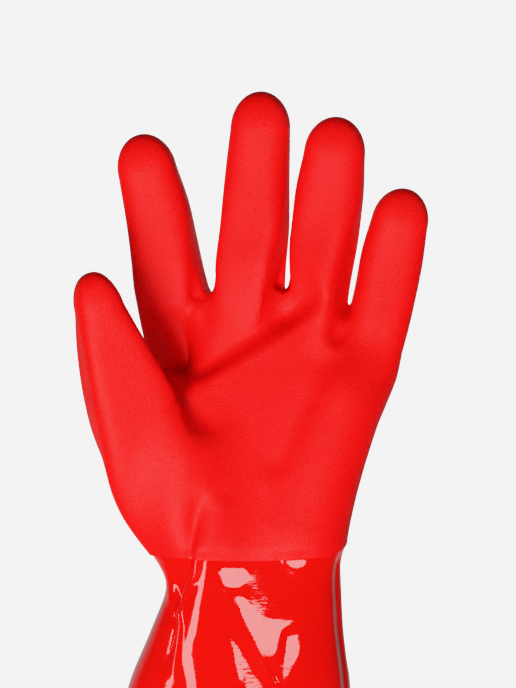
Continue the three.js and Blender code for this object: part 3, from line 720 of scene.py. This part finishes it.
# Flat facets of the creased cuff, by the light that they mirror: rows of height, left edge and right edge. A
# facet faces halfway between camera and light, turned to +X and tilted up by these degrees.
mirrorWays = {"front": (8, 17), "strip": (-23.6, 10.3)}
facets = {
    "front": [
        [(-1.3, -11, -6.2), (0, -12.4, -5.2), (2.6, -13.1, -2.6), (6.4, -13.3, -2.8)],
        [
            (-30.1, 5.8, 8.4), (-24.1, 2.4, 10.5), (-18.1, -1.5, 11.8), (-14.4, -3.2, 15),
            (-13.2, -3.8, 5), (-10.8, -4.8, -0.2), (-7, -5.8, -2.3), (-3.9, -6.7, -4.5),
        ],
        [
            (-13, -0.5, 4.6), (-10.8, -0.2, 4.6), (-6.9, 2.8, 5.8), (-0.4, 5.8, 7.4),
            (4, 8, 9.6), (9, 9.6, 11), (14, 9.8, 11),
        ],
        [
            (-39.6, 12.9, 13.9), (-35.3, 13, 15.6), (-29.2, 13.3, 18.7), (-25.8, 13.8, 19.5),
            (-21.2, 14.5, 18.7),
        ],
        [
            (-39.6, -5.4, -4), (-37.8, -5.8, -3.9), (-31.8, -7.1, -3.5),
            (-28.4, -7.7, -4.3), (-25.8, -8.2, -5.4), (-21.4, -9.3, -8.5),
        ],
        [
            (-56, 3.5, 12), (-47.3, -0.2, 7.5), (-40.6, -2.1, 3.4), (-33.1, -3.7, -1.1), (-30.1, -3.2, -2.3),
        ],
        [(6.4, 17.5, 20), (7.2, 15.8, 21.4), (8.4, 14.2, 22), (12, 13.4, 21.8)],
    ],
    "strip": [
        [
            (-60, -27.2, -22.8), (-44.3, -27.6, -23.7), (-36.6, -28.9, -25), (-30.5, -30.2, -26.4),
            (-24.5, -28.3, -25.2), (-20.6, -26.9, -24), (-12.9, -25, -22.3), (-4.7, -23.4, -20.8),
            (1.7, -22.2, -20), (11, -21.2, -19.2), (18, -21.2, -19.2),
        ],
    ],
}
facetGrid = {
    "spacing": 0.4, "x": (-52, 52), "z": (-80, 30),
    "crisp": 0.5, "soft": 3.4, "lowFade": 20, "topFade": (10.5, 15),
    "widest": 0.96,  # how far out the front goes, as a share of the half width
    "newtonSteps": 6, "longest": 2, "leastSlope": 0.35, "rounds": 16,
}


def frontDepth(x, z):
    # The skin's y under each (x, z) of the front, by Newton's steps along y from the body's own section. The
    # section is held where it turns to the side.
    middle, halves, squareness = bodySection(z)
    off = np.minimum(np.abs(x - middle[..., 0]) / halves[..., 0], facetGrid["widest"])
    y = middle[..., 1] - halves[..., 1] * (1 - off**squareness) ** (1 / squareness)
    longest = facetGrid["longest"]
    for _ in range(facetGrid["newtonSteps"]):
        p = np.stack([x, y, z], -1)
        slope = np.minimum(fieldSlope(p)[..., 1], -facetGrid["leastSlope"])
        y = y - np.clip(gloveField(p) / slope, -longest, longest)
    return y


def facetMask(x, z, rows):
    # The product of the eased distances inside the left and lower edge, which are crisp, and the others, soft
    # where the facet is wide enough.
    table = makeTable("z left right", *rows)
    edges = readTable(table, z)
    crisp = facetGrid["crisp"] / 2
    soft = np.clip((edges["right"] - edges["left"]) / 4, crisp, facetGrid["soft"] / 2)
    left, low = rise(x - edges["left"], -crisp, crisp), rise(z - table["z"][0], -crisp, crisp)
    return left * low * rise(edges["right"] - x, -soft, soft) * rise(table["z"][-1] - z, -soft, soft)


def facetSlopes(x, z, own):
    # What the slopes dy/dx = tan(turn) and dy/dz = tan(tilt) / cos(turn) differ from the skin's own in each
    # facet, and how far each point lies in one, from 0 to 1.
    wanted, inside = np.zeros(own.shape), np.zeros(x.shape)
    for light, shapes in facets.items():
        turn, tilt = [math.radians(angle) for angle in mirrorWays[light]]
        slopes = np.array((math.tan(turn), math.tan(tilt) / math.cos(turn))) - own
        for rows in shapes:
            mask = facetMask(x, z, rows)
            wanted = np.where((mask > inside)[..., None], slopes, wanted)
            inside = np.maximum(inside, mask)
    return wanted, inside


def makeFacets():
    # Depths whose slopes are the wanted ones inside the facets, and as small as they can be outside. Each
    # round gives the depths div(push) / laplace by Fourier, and pushes by what the slopes still lack.
    spacing = facetGrid["spacing"]
    x, z = np.meshgrid(*[np.arange(*facetGrid[axis], spacing) for axis in "xz"], indexing="ij")
    surface = frontDepth(x, z)
    p = np.stack([x, surface, z], -1).reshape(-1, 3)
    surface = surface + (foldDepth(p) + tuckDepth(p)).reshape(x.shape)
    wanted, inside = facetSlopes(x, z, np.stack(np.gradient(surface, spacing), -1))
    waves = [2j * np.pi * np.fft.fftfreq(n, spacing) for n in x.shape]
    waves = np.stack(np.meshgrid(*waves, indexing="ij"), -1)
    size = (waves**2).sum(-1)
    size[0, 0] = 1
    push = wanted * inside[..., None]
    for _ in range(facetGrid["rounds"]):
        heights = (waves * np.fft.fft2(push, axes=(0, 1))).sum(-1) / size
        slopes = np.fft.ifft2(waves * heights[..., None], axes=(0, 1)).real
        push = push + (wanted - slopes) * inside[..., None]
    return np.fft.ifft2(heights).real


def facetDepth(p):
    # The grid's depths, read evenly between its points, on the front only and fading at the grid's ends.
    spot = [(p[..., axis] - facetGrid[name][0]) / facetGrid["spacing"] for axis, name in ((0, "x"), (2, "z"))]
    cell = [np.clip(np.floor(at).astype(int), 0, size - 2) for at, size in zip(spot, facetDepths.shape)]
    u, v = [np.clip(at - corner, 0, 1) for at, corner in zip(spot, cell)]
    i, j = cell
    near, far = [mix(facetDepths[i, j + k], facetDepths[i + 1, j + k], u) for k in (0, 1)]
    depth = mix(near, far, v) * facingShare(p, "palm")
    z, low = p[..., 2], facetGrid["z"][0]
    return depth * rise(z, low, low + facetGrid["lowFade"]) * (1 - rise(z, *facetGrid["topFade"]))


facetDepths = makeFacets()
print("facets: depths", round(facetDepths.min(), 2), "to", round(facetDepths.max(), 2), "mm")


def detailDepth(p):  # how deep folds, tucks and facets lie under the smooth skin together
    return foldDepth(p) + tuckDepth(p) + facetDepth(p)


class Shell:  # the walls and rims of one piece, gathered into one mesh
    def __init__(self, net):
        self.net = net
        self.points, self.faces, self.count = [], [], 0

    def add(self, points):  # gives the points' numbers back
        self.points.append(points)
        self.count += len(points)
        return self.count - len(points) + np.arange(len(points))

    def wall(self, faces, cuts, rings, depth, inward=False):
        # skin - normal (depth + detailDepth), on the net's faces with each side cut into so many steps.
        points, fine, rims = refine(self.net.points, faces, cuts, rings)
        skin = ontoSkin(points)
        normal = unit(fieldSlope(skin))
        numbers = self.add(skin - normal * (depth + detailDepth(skin))[:, None])
        fine = fine[:, ::-1] if inward else fine
        self.faces += numbers[fine].tolist()
        return [numbers[rim] for rim in rims]

    def strip(self, low, high):  # faces between two rings of as many points
        a, b = np.roll(low, -1), np.roll(high, -1)
        self.faces += np.stack([low, a, b, high], -1).tolist()

    def step(self, fine, coarse):  # faces from a fine ring to one with fewer points
        ratio = len(fine) // len(coarse)
        spans = np.arange(len(coarse))[:, None] * ratio + np.arange(ratio, -1, -1)
        ends = np.stack([coarse, np.roll(coarse, -1)], -1)
        self.faces += np.concatenate([ends, np.append(fine, fine[0])[spans]], axis=1).tolist()

    def at(self, numbers):
        return np.concatenate(self.points)[numbers]

    def lip(self, outer, inner, drop, turns):
        # A rounded edge from rim to rim: outer + (inner - outer) (1 - cos) / 2, with sin drop added to z.
        previous = outer
        for turn in np.radians(turns):
            share = (1 - math.cos(turn)) / 2
            ring = mix(self.at(outer), self.at(inner), share) + np.array((0, 0, drop)) * math.sin(turn)
            numbers = self.add(ring)
            self.strip(numbers, previous)
            previous = numbers
        self.strip(inner, previous)

    def build(self, name):
        mesh = bpy.data.meshes.new(name)
        mesh.from_pydata(np.concatenate(self.points) * mm, [], self.faces)
        mesh.validate()
        mesh.polygons.foreach_set("use_smooth", np.ones(len(mesh.polygons), bool))
        piece = bpy.data.objects.new(name, mesh)
        bpy.context.collection.objects.link(piece)
        return piece


hand = {"outerCuts": 6, "innerCuts": 3, "lipDrop": -0.3, "lipTurns": (40, 90, 140)}


def makeHand():
    # The skin itself, the coat's underside over the lap, and the inner wall above it, skin - normal handWall.
    net, edge, lapTop, lapFaces = handNet()
    shell = Shell(net)
    allFaces = np.concatenate(net.faces)
    above = np.concatenate(net.faces[1:])
    [outerEdge] = shell.wall(allFaces, hand["outerCuts"], [edge], 0)
    lapRims = [edge, lapTop]
    underEdge, underTop = shell.wall(lapFaces, hand["outerCuts"], lapRims, walls["coat"], inward=True)
    [innerTop] = shell.wall(above, hand["innerCuts"], [lapTop], handWall, inward=True)
    shell.lip(outerEdge, underEdge, hand["lipDrop"], hand["lipTurns"])
    shell.step(underTop, innerTop)
    return shell.build("sandyGloveHand")


cuff = {"outerCuts": 8, "innerCuts": 4}


def makeCuff():
    # The outer wall under coat and gap, and the inner wall a cuff's thickness deeper, joined at both ends.
    net, top, end = cuffNet()
    shell = Shell(net)
    faces = np.concatenate(net.faces)
    outside = walls["coat"] + walls["gap"]
    inside = outside + walls["cuff"]
    outerTop, outerEnd = shell.wall(faces, cuff["outerCuts"], [top, end], outside)
    innerTop, innerEnd = shell.wall(faces, cuff["innerCuts"], [top, end], inside, inward=True)
    shell.step(outerTop[::-1], innerTop[::-1])
    shell.step(outerEnd, innerEnd)
    return shell.build("glossyGloveCuff")


sandyHand = makeHand()
print("hand:", len(sandyHand.data.polygons), "faces")
glossyCuff = makeCuff()
print("cuff:", len(glossyCuff.data.polygons), "faces")


class Value:  # a shader socket that can stand in a sum, a difference or a product
    def __init__(self, shader, socket):
        self.shader, self.socket = shader, socket

    def combine(self, operation, a, b):
        return self.shader.node("ShaderNodeMath", {"operation": operation}, {0: a, 1: b})

    def __add__(self, other):
        return self.combine("ADD", self, other)

    def __sub__(self, other):
        return self.combine("SUBTRACT", self, other)

    def __rsub__(self, other):
        return self.combine("SUBTRACT", other, self)

    def __mul__(self, other):
        return self.combine("MULTIPLY", self, other)

    __radd__ = __add__
    __rmul__ = __mul__


class Shader:  # the nodes of one material or of the world
    def __init__(self, owner, surface):
        owner.use_nodes = True
        self.owner, self.tree = owner, owner.node_tree
        self.surface = self.tree.nodes[surface]

    def node(self, kind, settings, sockets, output=0):
        node = self.tree.nodes.new(kind)
        for name, value in settings.items():
            setattr(node, name, value)
        self.fill(node, sockets)
        return Value(self, node.outputs[output])

    def fill(self, node, sockets):  # links what is a Value, and sets the rest
        for name, value in sockets.items():
            if isinstance(value, Value):
                self.tree.links.new(value.socket, node.inputs[name])
            else:
                node.inputs[name].default_value = value

    def place(self):
        return self.node("ShaderNodeTexCoord", {}, {}, "Object")

    def noise(self, place, sizes):
        return self.node("ShaderNodeTexNoise", {}, {"Vector": place, **sizes})

    def mixColour(self, share, a, b):  # a mix node's colours go in at 6 and 7, and come out at 2
        return self.node("ShaderNodeMix", {"data_type": "RGBA"}, {0: share, 6: a, 7: b}, 2)

    def bump(self, height, distance):
        return self.node("ShaderNodeBump", {}, {"Height": height, "Distance": distance, "Strength": 1.0})


def newMaterial(name):
    return Shader(bpy.data.materials.new(name), "Principled BSDF")


sandyLook = {
    "hollow": (0.34, 0.0004, 0.0004, 1),
    "grain": (0.86, 0.0022, 0.0022, 1),
    "grains": {"Scale": 1700.0, "Detail": 1.5, "Roughness": 0.6},
    "patches": {"Scale": 60.0, "Detail": 3.0},
    "grainContrast": 2.4, "patchContrast": 0.5, "lightness": 0.62,
    "grainDepth": 0.3 * mm,
    "roughness": 0.5, "specular": 0.05,
}


def sandyMaterial():
    # Grains lighter than the hollows between them, in slow patches, and the same grains as height:
    # share = (grains - 0.5) grainContrast + (patches - 0.5) patchContrast + lightness.
    shader = newMaterial("sandyRubber")
    look = sandyLook
    place = shader.place()
    grains = shader.noise(place, look["grains"])
    patches = shader.noise(place, look["patches"])
    share = (grains - 0.5) * look["grainContrast"] + (patches - 0.5) * look["patchContrast"]
    colour = shader.mixColour(share + look["lightness"], look["hollow"], look["grain"])
    normal = shader.bump(grains, look["grainDepth"])
    shader.fill(shader.surface, {"Base Color": colour, "Normal": normal})
    shader.fill(shader.surface, {"Roughness": look["roughness"], "Specular IOR Level": look["specular"]})
    return shader.owner


glossyLook = {
    "thin": (0.5, 0.001, 0.0004, 1),
    "thick": (0.58, 0.0012, 0.0006, 1),
    "clouds": {"Scale": 35.0, "Detail": 3.0},
    "stretch": (0.25, 0.25, 1.0),
    "ribs": {"Scale": 900.0, "Detail": 1.0},
    "ribDepth": 0.05 * mm,
    "waves": {"Scale": 130.0, "Detail": 1.0},
    "waveDepth": 0.2 * mm,
    "smoothest": 0.05, "dullest": 0.12,
}


def glossyMaterial():
    # Clouds of thicker and thinner rubber, duller where thicker. The height is ribs ribDepth + waves
    # waveDepth, which are fine level ribs and slow waves of the dipped skin.
    shader = newMaterial("glossyRubber")
    look = glossyLook
    place = shader.place()
    clouds = shader.noise(place, look["clouds"])
    colour = shader.mixColour(clouds, look["thin"], look["thick"])
    ribPlace = shader.node("ShaderNodeVectorMath", {"operation": "MULTIPLY"}, {0: place, 1: look["stretch"]})
    ribs = shader.noise(ribPlace, look["ribs"])
    waves = shader.noise(place, look["waves"])
    normal = shader.bump(ribs * look["ribDepth"] + waves * look["waveDepth"], 1.0)
    roughness = clouds * (look["dullest"] - look["smoothest"]) + look["smoothest"]
    shader.fill(shader.surface, {"Base Color": colour, "Roughness": roughness, "Normal": normal})
    return shader.owner


sandyHand.data.materials.append(sandyMaterial())
glossyCuff.data.materials.append(glossyMaterial())
print("materials:", sandyHand.active_material.name, "and", glossyCuff.active_material.name)
pieces = [(sandyHand, "sandy_hand", "sandy_coat"), (glossyCuff, "glossy_cuff", "glossy_coat")]
for piece, node, slot in pieces:
    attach(piece, "root")
    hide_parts(node)

view = {"target": (0.0024, 0.0, 0.1015), "lens": 150, "sensor": 36, "tall": 0.2958}


def makeCamera():
    # Level, and facing +Y from target - (0, lens / sensor tall, 0). There the picture is tall metres high.
    camera = bpy.data.objects.new("camera", bpy.data.cameras.new("camera"))
    camera.data.lens = view["lens"]
    camera.data.sensor_width = view["sensor"]
    camera.location = Vector(view["target"]) - Vector((0, view["lens"] / view["sensor"] * view["tall"], 0))
    camera.rotation_euler = (math.pi / 2, 0, 0)
    bpy.context.collection.objects.link(camera)
    bpy.context.scene.camera = camera


floor = {
    "height": -0.1112, "radius": 0.5, "corners": 64,
    "colour": (0.86, 0.86, 0.87, 1), "roughness": 0.8, "glow": 0.25,
}


def makeFloor():
    # A disc: radius (cos, sin) at even turns.
    turn = np.radians(np.arange(floor["corners"]) * 360 / floor["corners"])
    ring = np.stack([np.cos(turn), np.sin(turn), 0 * turn], -1) * floor["radius"]
    mesh = bpy.data.meshes.new("floor")
    mesh.from_pydata(ring + np.array((0, 0, floor["height"])), [], [list(range(len(ring)))])
    stand = bpy.data.objects.new("floor", mesh)
    bpy.context.collection.objects.link(stand)
    shader = newMaterial("paleFloor")
    shader.fill(shader.surface, {"Base Color": floor["colour"], "Roughness": floor["roughness"]})
    shader.fill(shader.surface, {"Emission Color": (1, 1, 1, 1), "Emission Strength": floor["glow"]})
    mesh.materials.append(shader.owner)
    stand.visible_glossy = False  # the cuff mirrors the room and the lights alone
    stand.visible_shadow = False  # the main light stands lower than the floor
    stand.visible_diffuse = False  # and no light comes up from it onto the glove


# The back light isn't mirrored, because it would draw pale rims on the glove.
lights = {
    "key": {"place": (-0.25, -1.1, -0.6), "aim": (0, 0, 0.05), "size": (0.5, 0.5), "power": 28},
    "front": {"place": (0.32, -1.13, 0.605), "aim": (0, 0, 0), "size": (0.3, 0.3), "power": 0.9},
    "strip": {"place": (-0.98, -0.86, 0.27), "aim": (0, 0, 0), "size": (0.2, 0.9), "power": 1.8},
    "right": {"place": (1.06, -0.26, 0.79), "aim": (0, 0, 0.08), "size": (0.25, 0.6), "power": 1.0},
    "back": {"place": (0.2, 1.4, 0.35), "aim": (0, 0, 0.08), "size": (0.7, 0.7), "power": 14, "gloss": False},
}


def addLight(name, place, aim, size, power, gloss=True):  # a soft rectangle of light that faces its aim
    light = bpy.data.lights.new(name, "AREA")
    light.shape = "RECTANGLE"
    light.size, light.size_y, light.energy = *size, power
    lamp = bpy.data.objects.new(name, light)
    lamp.location = place
    lamp.rotation_euler = (Vector(aim) - Vector(place)).to_track_quat("-Z", "Y").to_euler()
    lamp.visible_glossy = gloss
    bpy.context.collection.objects.link(lamp)


world = {"front": 0.012, "behind": 0.18, "turn": (0.5, 0.9), "backdrop": (0.844, 0.834, 0.844, 1)}


def makeWorld():
    # Rays from the camera see the even backdrop. The others see front where their y is below the turn, behind
    # where it is above, and an even change between.
    shader = Shader(bpy.data.worlds.new("studio"), "Background")
    direction = shader.node("ShaderNodeTexCoord", {}, {}, "Generated")
    y = shader.node("ShaderNodeSeparateXYZ", {}, {0: direction}, "Y")
    low, high = world["turn"]
    limits = {"From Min": low, "From Max": high, "To Min": world["front"], "To Max": world["behind"]}
    light = shader.node("ShaderNodeMapRange", {}, {"Value": y, **limits})
    fromCamera = shader.node("ShaderNodeLightPath", {}, {}, "Is Camera Ray")
    shader.fill(shader.surface, {"Color": shader.mixColour(fromCamera, light, world["backdrop"])})
    bpy.context.scene.world = shader.owner


film = {
    "white": 0.95, "speed": 3.4, "range": 2,
    "stops": (0.01, 0.03, 0.06, 0.1, 0.15, 0.22, 0.32, 0.45, 0.65),
}


def setFilm():
    # The picture's tone curve, at stops of its range: shown = white (1 - exp(-speed light)).
    picture = bpy.context.scene.view_settings
    picture.view_transform = "Standard"
    picture.use_curve_mapping = True
    mapping = picture.curve_mapping
    mapping.white_level = [film["range"]] * 3
    mapping.extend = "HORIZONTAL"
    points = mapping.curves[3].points  # the curve of all three colours together
    for x in film["stops"]:
        points.new(x, film["white"] * (1 - math.exp(-film["speed"] * film["range"] * x)))
    points[-1].location = (1, film["white"])
    mapping.update()


makeCamera()
makeFloor()
for name, light in lights.items():
    addLight(name, **light)
makeWorld()
setFilm()
print("camera, floor and light are set")
